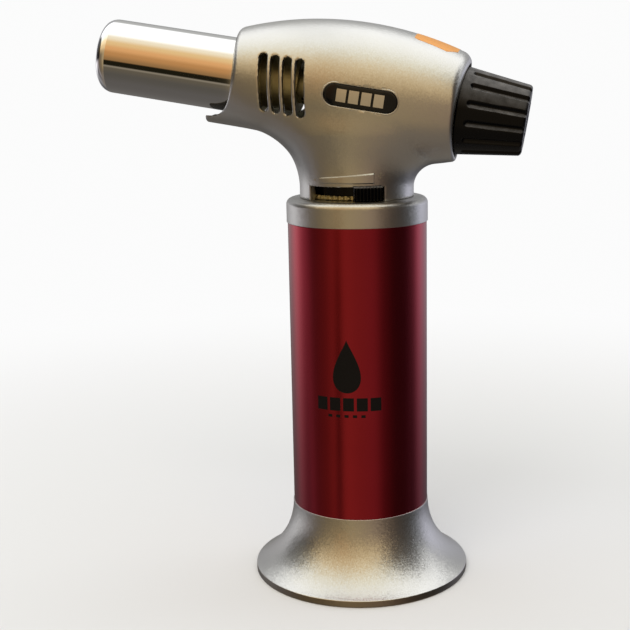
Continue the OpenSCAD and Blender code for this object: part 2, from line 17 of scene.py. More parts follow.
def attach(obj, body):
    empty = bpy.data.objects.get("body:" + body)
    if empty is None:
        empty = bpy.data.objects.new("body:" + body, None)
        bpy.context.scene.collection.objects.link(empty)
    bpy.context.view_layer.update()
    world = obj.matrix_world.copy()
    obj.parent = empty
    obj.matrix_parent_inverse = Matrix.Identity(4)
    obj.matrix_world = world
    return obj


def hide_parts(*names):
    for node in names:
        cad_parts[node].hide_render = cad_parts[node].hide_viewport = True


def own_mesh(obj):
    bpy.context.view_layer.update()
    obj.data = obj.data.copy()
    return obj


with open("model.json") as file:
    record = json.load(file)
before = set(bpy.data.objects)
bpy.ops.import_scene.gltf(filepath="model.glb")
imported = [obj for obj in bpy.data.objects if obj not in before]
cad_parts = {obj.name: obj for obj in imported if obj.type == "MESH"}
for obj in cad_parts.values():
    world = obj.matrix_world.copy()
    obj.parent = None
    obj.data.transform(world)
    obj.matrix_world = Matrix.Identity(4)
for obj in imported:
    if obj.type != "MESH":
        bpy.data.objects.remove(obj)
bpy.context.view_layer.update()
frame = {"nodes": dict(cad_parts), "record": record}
MM = 0.001

# ---- Driving sizes, in millimetres ----
FOOT_R, FOOT_RIM, FOOT_H, FOOT_WALL, LEDGE_R = 31.8, 2.1, 21.5, 1.8, 15.0
SLEEVE_R, SLEEVE_WALL, SLEEVE_TOP = 20.0, 0.8, 105.1
COLLAR_R, COLLAR_TOP, COLLAR_ROUND = 20.3, 112.0, 1.8
TANK_R, TANK_Z0, LID_TOP, BOSS_R = 18.2, 12.0, 102.0, 9.0
FIT = 0.05  # gap of a snug fit
SPIGOT_R = SLEEVE_R - SLEEVE_WALL - FIT

HEAD_Z, TILT = 140.9, math.radians(9.35)
COS_T, SIN_T = math.cos(TILT), math.sin(TILT)
BARREL_R, BARREL_ARC, BARREL_MID = 19.9, 100.0, 0.5
FRONT_S, BACK_S, CHIN_S = -33.1, 31.0, -42.0
CHIN_R = 14.4  # radius of the casing's underside at the chin
REAR_TRIM, REAR_DISH = 1.05, 1.4  # how far its rear is cut back underneath and in its end's middle
PARTING = 0.04  # half the gap between its halves
WALL, NECK_R = 2.0, 16.3
FRONT_FILLET, BACK_FILLET, SIDE_FILLET = 12.5, 6.4, 8.0
CAVITY_S0, BORE_S0, BORE_R = -26.0, 24.0, 12.8
BARE_SHADE_R = 13.25  # the casing is darkened nearer than this to the head's axis: painted shade in its gaps, given as bare plastic

TUBE_R, TUBE_WALL, TUBE_FRONT, TUBE_BACK = 10.5, 0.7, -74.4, -26.2
LIP_R, LIP_S = 8.1, 3.2  # inner radius and length of the flame tube's rolled lip
KNOB_R0, KNOB_R1, KNOB_S0, KNOB_S1, FLUTES = 12.3, 9.7, 29.6, 48.6, 14

VENT_X, VENT_Z, VENT_W, VENT_L, VENT_PITCH, VENT_STEP = -17.4, 143.7, 2.5, 15.6, 3.55, 0.6
BADGE_S, BADGE_H, BADGE_L, BADGE_W = 4.7, -0.1, 20.0, 5.8
WINDOW_A0, WINDOW_A1, WINDOW_TOP = -43.0, 38.0, 116.1  # degrees from -Y towards +X, and height
WEDGE_A0, WEDGE_A1 = -28.5, 27.0
PAD_A, PAD_SPAN = 21.0, 28.5
RING_R, RING_Z0, RING_Z1, HOUSING_R = 12.9, 112.25, 113.3, 8.0
SCREWS = [(-4.0, 13.5), (19.0, -13.0), (-20.5, -12.8)]  # along the head's axis, above it
PILLAR_R, SCREW_R, SCREW_HEAD_R, SCREW_HEAD_H = 2.6, 1.2, 2.2, 1.5
SHELF_R = 11.4  # inner radius of the shelf in the neck
CHIN_GAP_R = 12.9  # radius of the room between the flame tube and the chin
SIDE_Y = 8.0  # openings and badges in the casing's sides reach in to here


# ---- Places. The head's frame has s along its axis to the rear and h up from it ----
def to_head(x, z):
    return x * COS_T - (z - HEAD_Z) * SIN_T, x * SIN_T + (z - HEAD_Z) * COS_T


def from_head(s, y, h):
    """Points [..., 3] of the row frame from places in the head's frame."""
    s, y, h = np.broadcast_arrays(s, y, h)
    return np.stack([s * COS_T + h * SIN_T, y, HEAD_Z - s * SIN_T + h * COS_T], -1)


def around_z(r, a, z):
    """Points [..., 3] at radius r and angle a round Z, counted from -Y towards +X."""
    r, a, z = np.broadcast_arrays(r, a, z)
    return np.stack([r * np.sin(a), -r * np.cos(a), z], -1)


def grid(n, m):
    """Two arrays [n, m] that run from -1 to 1, one down and one across."""
    return np.meshgrid(np.linspace(-1, 1, n), np.linspace(-1, 1, m), indexing="ij")


# ---- Materials ----
def feed(owner, socket, value):
    """Links another node's output to a socket, or sets the socket's value."""
    if isinstance(value, bpy.types.NodeSocket):
        owner.node_tree.links.new(value, socket)
    elif value is not None:
        socket.default_value = value


def node(owner, kind, *inputs, **settings):
    """A node of a material or of the world. inputs go to its first sockets in order.

    settings are sockets or properties by name. None leaves a socket as it is.
    """
    n = owner.node_tree.nodes.new(kind)
    for key, value in [*settings.items(), *enumerate(inputs)]:
        if isinstance(key, str) and key not in n.inputs:
            setattr(n, key, value)
        else:
            feed(owner, n.inputs[key], value)
    return n


def maths(owner, operation, a, b):
    return node(owner, "ShaderNodeMath", a, b, operation=operation).outputs[0]


def vector(owner, operation, a, b=None, output="Vector"):
    return node(owner, "ShaderNodeVectorMath", a, b, operation=operation).outputs[output]


def scaled(owner, a, factor):
    return node(owner, "ShaderNodeVectorMath", a, operation="SCALE", Scale=factor).outputs["Vector"]


def span(owner, value, low, high, to_low=0.0, to_high=1.0, kind="LINEAR"):
    """A value mapped from low..high to to_low..to_high."""
    n = node(owner, "ShaderNodeMapRange", value, low, high, to_low, to_high, interpolation_type=kind)
    return n.outputs["Result"]


def mixed(owner, factor, a, b):
    """A colour between a and b, each of them a colour or another node's output."""
    n = node(owner, "ShaderNodeMix", factor, data_type="RGBA")
    for place, value in ((6, a), (7, b)):
        feed(owner, n.inputs[place], (*value, 1) if isinstance(value, (tuple, list)) else value)
    return n.outputs[2]


def new_material(name, color, metallic, roughness, **more):
    """A Principled material; more sets other sockets by name. Returns (material, shader)."""
    mat = bpy.data.materials.new(name)
    mat.use_nodes = True
    shader = mat.node_tree.nodes["Principled BSDF"]
    values = {"Base Color": (*color, 1), "Metallic": metallic, "Roughness": roughness, **more}
    for socket, value in values.items():
        shader.inputs[socket].default_value = value
    return mat, shader


def coordinates(mat, scale=(1, 1, 1)):
    """The piece's own coordinates, stretched."""
    place = node(mat, "ShaderNodeTexCoord").outputs["Object"]
    return node(mat, "ShaderNodeMapping", Vector=place, Scale=scale).outputs["Vector"]


def along_z(mat, vector_socket):
    return node(mat, "ShaderNodeSeparateXYZ", vector_socket).outputs["Z"]


def vary(mat, shader, socket, texture, low, high):
    """Feeds a socket from a texture's value, mapped to low..high."""
    feed(mat, shader.inputs[socket], span(mat, texture, 0.0, 1.0, low, high))


def noise(mat, where, scale, detail=3.0, rough=0.5):
    texture = node(mat, "ShaderNodeTexNoise", Vector=where, Scale=scale, Detail=detail, Roughness=rough)
    return texture.outputs["Fac"]


def bump(mat, shader, height, strength, distance):
    b = node(mat, "ShaderNodeBump", Height=height, Strength=strength, Distance=distance)
    feed(mat, shader.inputs["Normal"], b.outputs["Normal"])


def flakes(mat, shader, size, tilt):
    """Metal flakes in a lacquer: each cell leans its normal a little its own way."""
    cells = node(mat, "ShaderNodeTexVoronoi", Vector=coordinates(mat), Scale=1 / (size * MM))
    centred = vector(mat, "SUBTRACT", cells.outputs["Color"], (0.5, 0.5, 0.5))
    surface = node(mat, "ShaderNodeNewGeometry").outputs["Normal"]
    total = vector(mat, "ADD", surface, scaled(mat, centred, tilt))
    feed(mat, shader.inputs["Normal"], vector(mat, "NORMALIZE", total))


def near_axis(mat, radius):
    """1 within a radius of the head's axis, else 0."""
    where = coordinates(mat)
    rise = vector(mat, "DOT_PRODUCT", where, (SIN_T, 0, COS_T), "Value")
    above = maths(mat, "SUBTRACT", rise, HEAD_Z * COS_T * MM)
    aside = node(mat, "ShaderNodeSeparateXYZ", where).outputs["Y"]
    flat = node(mat, "ShaderNodeCombineXYZ", 0, aside, above).outputs[0]
    return maths(mat, "LESS_THAN", vector(mat, "LENGTH", flat, output="Value"), radius * MM)


def silver_paint(name, flake, tilt, rim=None, bare_and_shaded_inside=False):
    mat, shader = new_material(
        name, (0.6, 0.6, 0.6), 1.0, 0.33, **{"Coat Weight": 0.12, "Coat Roughness": 0.25}
    )
    flakes(mat, shader, flake, tilt)
    cloud = noise(mat, coordinates(mat), 90, 4)
    color = mixed(mat, cloud, (0.56, 0.56, 0.545), (0.61, 0.61, 0.595))
    if bare_and_shaded_inside:  # painted shade: the casing is darkened round the tube, the knob and inside, given as unpainted dark plastic
        inside = near_axis(mat, BARE_SHADE_R)
        color = mixed(mat, inside, color, (0.05, 0.047, 0.04))
        feed(mat, shader.inputs["Metallic"], maths(mat, "SUBTRACT", 1.0, inside))
    if rim:  # painted shade: the rim's plain edge is made darker than the flare above it
        edge = span(mat, along_z(mat, coordinates(mat)), (rim - 0.25) * MM, (rim - 0.1) * MM)
        color = mixed(mat, edge, (0.32, 0.29, 0.25), color)
    feed(mat, shader.inputs["Base Color"], color)
    vary(mat, shader, "Roughness", noise(mat, coordinates(mat), 260), 0.3, 0.36)
    return mat


def red_anodised():
    mat, shader = new_material(
        "red_anodised", (0.34, 0.015, 0.034), 1.0, 0.25, **{"Coat Weight": 0.25, "Coat Roughness": 0.25}
    )
    drawn = noise(mat, coordinates(mat, (1, 1, 0.05)), 2400, 2)  # faint lines along the tube
    cloud = noise(mat, coordinates(mat), 60, 4)
    feed(mat, shader.inputs["Base Color"], mixed(mat, cloud, (0.32, 0.013, 0.03), (0.37, 0.018, 0.038)))
    vary(mat, shader, "Roughness", drawn, 0.21, 0.28)
    bump(mat, shader, noise(mat, coordinates(mat), 3000, 1), 0.25, 0.00001)
    return mat


def chrome():
    mat, shader = new_material("chrome", (0.9, 0.9, 0.91), 1.0, 0.03)
    vary(mat, shader, "Roughness", noise(mat, coordinates(mat), 140, 5, 0.6), 0.015, 0.06)
    bump(mat, shader, noise(mat, coordinates(mat, (0.25, 1, 1)), 60, 2), 0.08, 0.0002)
    return mat


def metal(name, light, dark, roughness):
    """A bare metal that is duller and darker in patches."""
    mat, shader = new_material(name, light, 1.0, roughness)
    worn = noise(mat, coordinates(mat), 180, 5, 0.6)
    feed(mat, shader.inputs["Base Color"], mixed(mat, worn, dark, light))
    vary(mat, shader, "Roughness", worn, roughness + 0.12, roughness - 0.06)
    bump(mat, shader, noise(mat, coordinates(mat), 1500, 2), 0.2, 0.00003)
    return mat


def plastic(name, color, roughness, grain=0.3, **more):
    """A moulded plastic or rubber with a fine grain."""
    mat, shader = new_material(name, color, 0.0, roughness, **more)
    cloud = noise(mat, coordinates(mat), 120, 3)
    tint = mixed(mat, cloud, [0.85 * c for c in color], [1.1 * c for c in color])
    feed(mat, shader.inputs["Base Color"], tint)
    vary(mat, shader, "Roughness", noise(mat, coordinates(mat), 700), roughness - 0.05, roughness + 0.05)
    bump(mat, shader, noise(mat, coordinates(mat), 2600, 2), grain, 0.00003)
    return mat


def dust_and_painted_sheen(mat, dust_sheen_color):
    """Adds a pale film in patches where a surface faces up: dust, and a painted sheen of the light from
    above.
    """
    base = mat.node_tree.nodes["Principled BSDF"].inputs["Base Color"]
    surface = node(mat, "ShaderNodeNewGeometry").outputs["Normal"]
    facing = span(mat, along_z(mat, surface), 0.05, 0.95, kind="SMOOTHSTEP")
    patches = maths(mat, "MULTIPLY", facing, noise(mat, coordinates(mat), 500, 4))
    feed(mat, base, mixed(mat, patches, base.links[0].from_socket, dust_sheen_color))
    return mat


MATERIALS = {
    "silver_paint": silver_paint("silver_paint", 0.22, 0.1),
    "red_anodised": red_anodised(),
    "chrome": chrome(),
    # the black satin parts get dust and a painted sheen on their upward faces
    "black_satin": dust_and_painted_sheen(
        plastic("black_satin", (0.0012, 0.0012, 0.0014), 0.27, 0.3, **{"Specular IOR Level": 0.16}),
        (0.17, 0.17, 0.175),
    ),
    "black_gloss": plastic("black_gloss", (0.003, 0.003, 0.003), 0.1, 0.02, **{"Specular IOR Level": 0.3}),
    "brass": metal("brass", (0.74, 0.68, 0.42), (0.42, 0.38, 0.22), 0.5),
    "steel": metal("steel", (0.62, 0.61, 0.6), (0.42, 0.41, 0.4), 0.27),
    "white_plastic": plastic("white_plastic", (0.74, 0.73, 0.69), 0.42),
    "ceramic": plastic("ceramic", (0.84, 0.81, 0.74), 0.3, 0.15),
    "seal_rubber": plastic("seal_rubber", (0.018, 0.018, 0.018), 0.62, 0.5),
    "tank_alloy": metal("tank_alloy", (0.68, 0.68, 0.68), (0.55, 0.55, 0.55), 0.36),
    "label": plastic("label", (0.7, 0.31, 0.055), 0.4, 0.1),
    "lead_cover": plastic("lead_cover", (0.02, 0.02, 0.021), 0.5),
}
# the foot's paint, with painted shade on its rim's plain edge
FOOT_PAINT = silver_paint("silver_paint_foot", 0.2, 0.17, rim=FOOT_RIM)
# the casing's paint, darkened near the head's axis with painted shade
CASING_PAINT = silver_paint("silver_paint_casing", 0.22, 0.1, bare_and_shaded_inside=True)
PRINT = plastic("print_black", (0.004, 0.0035, 0.0035), 0.55, 0.1, **{"Specular IOR Level": 0.15})
MARK = metal("mark_silver", (0.78, 0.78, 0.78), (0.6, 0.6, 0.6), 0.3)

for row in frame["record"]["subparts"]:
    mesh = frame["nodes"][row["node"]].data
    mesh.materials.clear()
    mesh.materials.append(MATERIALS[row["material_slot"]])


# ---- Meshes ----
def add_piece(name, points, faces, slot=None, stands_for=(), body="torch", crease=30, material=None):
    """A piece from points in millimetres, in its slot's material unless another is given.

    Edges sharper than crease degrees stay sharp.
    """
    mesh = bpy.data.meshes.new(name)
    mesh.from_pydata((np.asarray(points, float) * MM).tolist(), [], faces)
    mesh.validate()
    return finish_piece(name, mesh, slot, stands_for, body, crease, material)


def finish_piece(name, mesh, slot, stands_for, body, crease, material):
    mesh.polygons.foreach_set("use_smooth", [True] * len(mesh.polygons))
    mesh.set_sharp_from_angle(angle=math.radians(crease))
    mesh.materials.append(material or MATERIALS[slot])
    obj = bpy.data.objects.new(name, mesh)
    bpy.context.scene.collection.objects.link(obj)
    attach(obj, body)
    if stands_for:
        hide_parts(*stands_for)
    return obj


def joined(*parts):
    """One (points, faces) from several."""
    points, faces = [], []
    for part_points, part_faces in parts:
        first = sum(len(p) for p in points)
        faces += [[i + first for i in face] for face in part_faces]
        points.append(np.asarray(part_points, float).reshape(-1, 3))
    return np.concatenate(points), faces


def rounded(corners, steps=6):
    """A closed outline from (a, b, radius) corners, each rounded with an arc."""
    pts = [np.array(c[:2], float) for c in corners]
    out = []
    for i, (_, _, r) in enumerate(corners):
        p, before, after = pts[i], pts[i - 1], pts[(i + 1) % len(pts)]
        u, v = before - p, after - p
        lu, lv = np.linalg.norm(u), np.linalg.norm(v)
        if r <= 0 or lu < 1e-9 or lv < 1e-9:
            out.append(tuple(p))
            continue
        u, v = u / lu, v / lv
        half = math.acos(max(-1, min(1, float(u @ v)))) / 2
        if half >= 1.55:  # all but straight
            out.append(tuple(p))
            continue
        cut = min(r / math.tan(half), 0.49 * lu, 0.49 * lv)
        radius = cut * math.tan(half)
        middle = (u + v) / np.linalg.norm(u + v)
        centre = p + middle * radius / math.sin(half)
        start, end = p + u * cut - centre, p + v * cut - centre
        swing = math.pi - 2 * half
        for k in range(steps + 1):
            t = k / steps
            w = start * math.sin((1 - t) * swing) + end * math.sin(t * swing)
            out.append(tuple(centre + w / np.linalg.norm(w) * radius))
    return out


def arc(a, b, radius, start, end, steps):
    """(a, b, 0) corners along an arc about (a, b), in degrees."""
    angles = np.radians(np.linspace(start, end, steps + 1))
    return [(a + radius * math.cos(t), b + radius * math.sin(t), 0) for t in angles]


def held(outline):
    """The outline with a point just inside each end of its long straights, which keeps them flat."""
    margin = 0.25
    out = []
    for a, b in zip(outline, outline[1:] + outline[:1]):
        a, b = np.array(a[:2], float), np.array(b[:2], float)
        out.append(a)
        length = np.linalg.norm(b - a)
        if length > 4 * margin:
            step = (b - a) * margin / length
            out += [a + step, b - step]
    return out


def turned(outline, segments=288, head=False):
    """Turns a closed outline of (radius, place along the axis) about Z or about the head's axis."""
    outline = held(outline)
    around = np.linspace(0, 2 * math.pi, segments, endpoint=False)
    r, t = (np.array([p[k] for p in outline])[:, None] for k in (0, 1))
    if head:
        points = from_head(t, r * np.sin(around), r * np.cos(around))
    else:
        points = np.stack(np.broadcast_arrays(r * np.cos(around), r * np.sin(around), t), -1)
    n, m = len(outline), segments
    faces = []
    for i in range(n):
        a, b = i * m, (i + 1) % n * m
        for j in range(m):
            k = (j + 1) % m
            faces.append([a + j, a + k, b + k, b + j])
    return points.reshape(-1, 3), faces


def slab(outer, inner):
    """A closed plate between two grids of points [n, m, 3]."""
    n, m = outer.shape[:2]
    points = np.concatenate([outer.reshape(-1, 3), inner.reshape(-1, 3)])
    top = np.arange(n * m).reshape(n, m)
    low = top + n * m
    faces = []
    for i in range(n - 1):
        for j in range(m - 1):
            faces.append([top[i, j], top[i + 1, j], top[i + 1, j + 1], top[i, j + 1]])
            faces.append([low[i, j], low[i, j + 1], low[i + 1, j + 1], low[i + 1, j]])
    ring = (
        [(0, j) for j in range(m - 1)]
        + [(i, m - 1) for i in range(n - 1)]
        + [(n - 1, j) for j in range(m - 1, 0, -1)]
        + [(i, 0) for i in range(n - 1, 0, -1)]
    )
    for (i0, j0), (i1, j1) in zip(ring, ring[1:] + ring[:1]):
        faces.append([top[i0, j0], top[i1, j1], low[i1, j1], low[i0, j0]])
    return points, [[int(v) for v in f] for f in faces]


def rings(loops, closed=True):
    """A skin through loops of points [n, m, 3]. If closed, both ends are closed to their middles."""
    loops = np.asarray(loops, float)
    n, m = loops.shape[:2]
    points = loops.reshape(-1, 3)
    faces = []
    for i in range(n - 1):
        for j in range(m):
            k = (j + 1) % m
            faces.append([i * m + j, i * m + k, (i + 1) * m + k, (i + 1) * m + j])
    if closed:
        first, last = n * m, n * m + 1
        points = np.concatenate([points, loops[0].mean(0)[None], loops[-1].mean(0)[None]])
        faces += [[(j + 1) % m, j, first] for j in range(m)]
        faces += [[(n - 1) * m + j, (n - 1) * m + (j + 1) % m, last] for j in range(m)]
    return points, faces


# ---- Foot, sleeve and collar ----
def foot_outline():
    reach, drop = FOOT_R - SLEEVE_R - 0.5, FOOT_H - FOOT_RIM
    flare = (reach**2 + drop**2) / (2 * reach)
    centre = SLEEVE_R + 0.2 + flare
    end = math.degrees(math.asin(drop / flare))
    outer = [(FOOT_R - 0.25, 0, 0.2), (FOOT_R, 0.25, 0.2), (FOOT_R, FOOT_RIM - 0.1, 0.35)]
    outer += arc(centre, FOOT_H, flare, 180 + end, 180, 40)[1:-1]
    outer += [(SLEEVE_R + 0.2, FOOT_H, 0.12), (SPIGOT_R, FOOT_H, 0), (SPIGOT_R, FOOT_H + 4, 0.3)]
    seat = TANK_Z0 - 1.4  # underside of the ledge that the tank stands on
    inner = [(TANK_R + FIT, FOOT_H + 4, 0.3), (TANK_R + FIT, TANK_Z0, 0), (LEDGE_R, TANK_Z0, 0.3)]
    inner += [(LEDGE_R, seat, 0.3), (TANK_R, seat, 0.4)]
    inner += arc(centre, FOOT_H, flare + FOOT_WALL, 180 + end - 26, 180 + end - 1, 20)
    return rounded(outer + inner + [(FOOT_R - 2.6, 0, 0.3)])


add_piece("foot", *turned(foot_outline()), "silver_paint", ["base_foot"], material=FOOT_PAINT)

inside = SLEEVE_R - SLEEVE_WALL
sleeve = [(SLEEVE_R, FOOT_H, 0.12), (SLEEVE_R, SLEEVE_TOP, 0.12)]
sleeve += [(inside, SLEEVE_TOP, 0.1), (inside, FOOT_H, 0.1)]
add_piece("sleeve", *turned(rounded(sleeve)), "red_anodised", ["tank_sleeve"])

ceiling, spigot_end = COLLAR_TOP - 2.2, LID_TOP + 0.1
collar = [(BOSS_R + FIT, COLLAR_TOP, 0), (BOSS_R + FIT, ceiling, 0), (SPIGOT_R - 1.2, ceiling, 0.3)]
collar += [(SPIGOT_R - 1.2, spigot_end, 0), (SPIGOT_R, spigot_end, 0.2), (SPIGOT_R, SLEEVE_TOP, 0)]
collar += [(COLLAR_R, SLEEVE_TOP, 0.15), (COLLAR_R, COLLAR_TOP, COLLAR_ROUND)]
add_piece("collar", *turned(rounded(collar, 16)), "silver_paint", ["tank_collar"])


# ---- Casing: a distance field, meshed and split along its parting line ----
def smoothstep(a, b, t):
    u = np.clip((t - a) / (b - a), 0, 1)
    return u * u * (3 - 2 * u)


def either(a, b, r):
    """The union of two solids given by distance, with the corner between them filled by radius r."""
    return np.maximum(r, np.minimum(a, b)) - np.hypot(np.maximum(r - a, 0), np.maximum(r - b, 0))


def both(a, b, r):
    """What lies in both solids, with the edge between them rounded by radius r."""
    return np.minimum(-r, np.maximum(a, b)) + np.hypot(np.maximum(a + r, 0), np.maximum(b + r, 0))


def barrel_radius(s):
    reach = np.clip(s - BARREL_MID, -60, 60)
    return BARREL_R - BARREL_ARC + np.sqrt(BARREL_ARC**2 - reach**2)


def skin(x, y, z):
    """Distance from the casing's outer surface, its ends left open."""
    s, h = to_head(x, z)
    rho = np.hypot(y, h)
    under = np.clip(-h / np.maximum(rho, 1e-6), 0, 1) ** 2  # 1 straight below the head's axis
    r = barrel_radius(s) - REAR_TRIM * smoothstep(6, 22, s) * under
    r = r + (CHIN_R - r) * under**3 * smoothstep(-4, -16, s)
    flat, above = np.hypot(x, y) - NECK_R, z - HEAD_Z + 11  # the neck ends inside the barrel
    neck = np.minimum(np.maximum(flat, above), 0) + np.hypot(np.maximum(flat, 0), np.maximum(above, 0))
    ahead = -x / np.maximum(np.hypot(x, y), 1e-6)  # 1 in front of the neck, -1 behind it
    reach = np.where(ahead > 0, FRONT_FILLET, BACK_FILLET) - SIDE_FILLET
    return either(rho - r, neck, SIDE_FILLET + reach * np.abs(ahead) ** 1.5)


def front_line(h):
    """Where the casing's front edge lies, seen from the side: bowed above, swept to the chin below."""
    bow, sweep, power = 0.0119, 10.5, 2.4
    low = np.clip((-3.4 - h) / 8.9, 0, 1)
    return FRONT_S - bow * np.maximum(h + 1, 0) ** 2 - sweep * (1 - (1 - low**power) ** (1 / power))


def onto_skin(start, direction, lift):
    """Moves points from inside the casing along a direction until they lie lift above its skin."""
    longest = 14.0
    near, far = np.zeros(start.shape[:-1]), np.full(start.shape[:-1], longest)
    for _ in range(30):
        middle = (near + far) / 2
        out = skin(*np.moveaxis(start + middle[..., None] * direction, -1, 0)) > lift
        near, far = np.where(out, near, middle), np.where(out, middle, far)
    return start + near[..., None] * direction


def pillar_half(s, h):
    """Half the length of the pillar around a screw, whose head lies under the skin all round."""
    turn = np.linspace(0, 2 * math.pi, 25)
    rim = from_head(s + SCREW_HEAD_R * np.cos(turn), 2.0, h + SCREW_HEAD_R * np.sin(turn))
    return float(onto_skin(rim, np.array([0, 1.0, 0]), -0.4)[:, 1].min())


PILLARS = [(s, h, pillar_half(s, h)) for s, h in SCREWS]


def casing(x, y, z):
    """Distance from both halves of the casing together."""
    s, h = to_head(x, z)
    rho, neck_r = np.hypot(y, h), np.hypot(x, y)
    outside = skin(x, y, z)
    # Its ends: front edge, round chin tip, dished rear and flat underside
    slope = np.clip((front_line(h + 0.05) - front_line(h - 0.05)) / 0.1, -5, 5)
    front = (front_line(h) - s) / np.sqrt(1 + slope**2)
    tip = (CHIN_S + y**2 / 45 - s) / np.sqrt(1 + (y / 22.5) ** 2)
    back = s - (BACK_S - REAR_DISH * np.clip(1 - (h / 14) ** 2, 0, 1))
    solid = both(outside, front, 0.5 + 1.5 * smoothstep(-8, 2, h))
    solid = both(solid, tip, 0.7)
    solid = both(solid, back, 0.9 + 1.7 * smoothstep(-2, 12, h))
    solid = both(solid, COLLAR_TOP + 0.04 - z, 0.25)
    cavity = np.maximum(np.maximum(outside + WALL, CAVITY_S0 - s), s - BORE_S0)
    solid = np.maximum(solid, -cavity)
    # Shelf with a groove that holds the valve housing's flange
    shelf = np.maximum(np.maximum(SHELF_R - neck_r, neck_r - NECK_R + 0.5), np.abs(z - 119.2) - 2.3)
    groove = np.maximum(neck_r - 13.1, np.abs(z - 118.75) - 1.35)
    solid = np.minimum(solid, np.maximum(shelf, -groove))
    for ps, ph, half in PILLARS:
        off = np.hypot(s - ps, h - ph)
        pillar = np.maximum(np.maximum(off - PILLAR_R, np.abs(y) - half), outside + 0.3)
        solid = np.minimum(solid, pillar)
        solid = np.maximum(solid, -np.maximum(off - SCREW_R - FIT, 2 - half - y))
        solid = both(solid, -np.maximum(off - SCREW_HEAD_R - 0.1, half - SCREW_HEAD_H - y), 0.25)
    # Bore for the flame tube, room under it above the chin, and bore for the knob
    solid = both(solid, -np.maximum(rho - TUBE_R - FIT, s + 24), 0.3)
    solid = both(solid, -np.maximum(np.maximum(rho - CHIN_GAP_R, s + 32.4), h + 1.5), 0.3)
    solid = both(solid, -np.maximum(rho - BORE_R, 22 - s), 0.4)
    # Vents, seats for the badges, and window
    for i in range(4):
        off_x = x - (VENT_X + (i - 1.5) * VENT_PITCH)
        off_z = np.abs(z - (VENT_Z - (i - 1.5) * VENT_STEP)) - (VENT_L - VENT_W) / 2
        vent = np.hypot(off_x, np.maximum(off_z, 0)) - VENT_W / 2
        solid = both(solid, -np.maximum(vent, SIDE_Y - np.abs(y)), 0.35)
    off_s = np.maximum(np.abs(s - BADGE_S) - (BADGE_L - BADGE_W) / 2, 0)
    seat = np.maximum(np.hypot(off_s, h - BADGE_H) - BADGE_W / 2 - 0.3, -1.0 - outside)
    solid = np.maximum(solid, -np.maximum(seat, SIDE_Y - np.abs(y)))
    middle, half = (np.radians((WINDOW_A1 + k * WINDOW_A0) / 2) for k in (1, -1))
    side = (np.abs(np.arctan2(x, -y) - middle) - half) * neck_r
    return both(solid, -np.maximum(np.maximum(side, z - WINDOW_TOP), 12 - neck_r), 0.2)


def meshed(distance, low, high, step):
    """(points, quads) of a distance field's zero surface, each point drawn onto it."""
    axes = [np.arange(a, b, step) for a, b in zip(low, high)]
    x, y, z = np.meshgrid(*axes, indexing="ij")
    field = openvdb.FloatGrid(3.0)
    field.copyFromArray(np.clip(distance(x, y, z) / step, -2, 2).astype(np.float32))
    points, _, quads = field.convertToPolygons(isovalue=0.0, adaptivity=0.0)
    points = np.asarray(points, float) * step + np.array(low)
    e = 0.04
    nudges = np.eye(3) * e
    for _ in range(3):
        rises = [distance(*(points + d).T) - distance(*(points - d).T) for d in nudges]
        slope = np.stack([rise / (2 * e) for rise in rises], -1)
        size = np.maximum((slope**2).sum(-1), 0.3)
        move = -(distance(*points.T) / size)[:, None] * slope
        length = np.maximum(np.linalg.norm(move, axis=-1, keepdims=True), 1e-9)
        points += move * np.minimum(1, 0.2 / length)
    return points, np.asarray(quads, int)[:, ::-1]


def split_half(name, points, quads, side, stands_for):
    """One half of the casing, cut flat a hair off the parting plane."""
    mesh = bpy.data.meshes.new(name)
    mesh.from_pydata(points.tolist(), [], quads.tolist())
    bm = bmesh.new()
    bm.from_mesh(mesh)
    cut = bmesh.ops.bisect_plane(
        bm,
        geom=bm.verts[:] + bm.edges[:] + bm.faces[:],
        plane_co=(0, side * PARTING, 0),
        plane_no=(0, -side, 0),
        clear_outer=True,
    )
    edges = [g for g in cut["geom_cut"] if isinstance(g, bmesh.types.BMEdge)]
    bmesh.ops.triangle_fill(bm, edges=edges, normal=(0, -side, 0))
    bmesh.ops.scale(bm, vec=(MM, MM, MM), verts=bm.verts)
    bm.to_mesh(mesh)
    bm.free()
    finish_piece(name, mesh, "silver_paint", stands_for, "torch", 42, CASING_PAINT)


GRID_STEP = 0.37
casing_mesh = meshed(casing, (-46, -21, 111.4), (34.5, 21, 162.5), GRID_STEP)
split_half("casing_left", *casing_mesh, -1, ["head_shell_left"])
split_half("casing_right", *casing_mesh, 1, ["head_shell_right"])


# ---- Casing screws ----
def screw(s, h, top):
    """A screw across the head, its head's face at top, with a cross recess."""
    turn = np.radians(np.arange(360, 0, -3))
    arm = np.abs((turn + math.pi / 4) % (math.pi / 2) - math.pi / 4)  # angle from the nearest arm
    cross = np.minimum(1.25 / np.cos(arm), 0.3 / np.maximum(np.sin(arm), 1e-6))
    base, edge = top - SCREW_HEAD_H, SCREW_HEAD_R
    levels = [(0.4, 2.5 - top), (SCREW_R, 3.4 - top), (SCREW_R, base)]
    levels += [(edge - 0.1, base), (edge, base + 0.1), (edge, top - 0.5), (edge - 0.1, top - 0.22)]
    levels += [(edge - 0.3, top - 0.07), (edge - 0.55, top), (cross, top), (0.92 * cross, top - 0.7)]
    return rings([from_head(s + r * np.cos(turn), y, h + r * np.sin(turn)) for r, y in levels])


screws = joined(*(screw(*pillar) for pillar in PILLARS))
add_piece("casing_screws", *screws, "steel", ["head_screws"])


# ---- Raised flow scale over the window ----
def neck_patch(angle, z, low, high):
    """A plate on the neck over grids of angles (degrees from -Y towards +X) and heights."""
    a = np.radians(angle)
    start, out = around_z(10.0, a, z), around_z(1.0, a, 0.0)
    return slab(onto_skin(start, out, high), onto_skin(start, out, low))


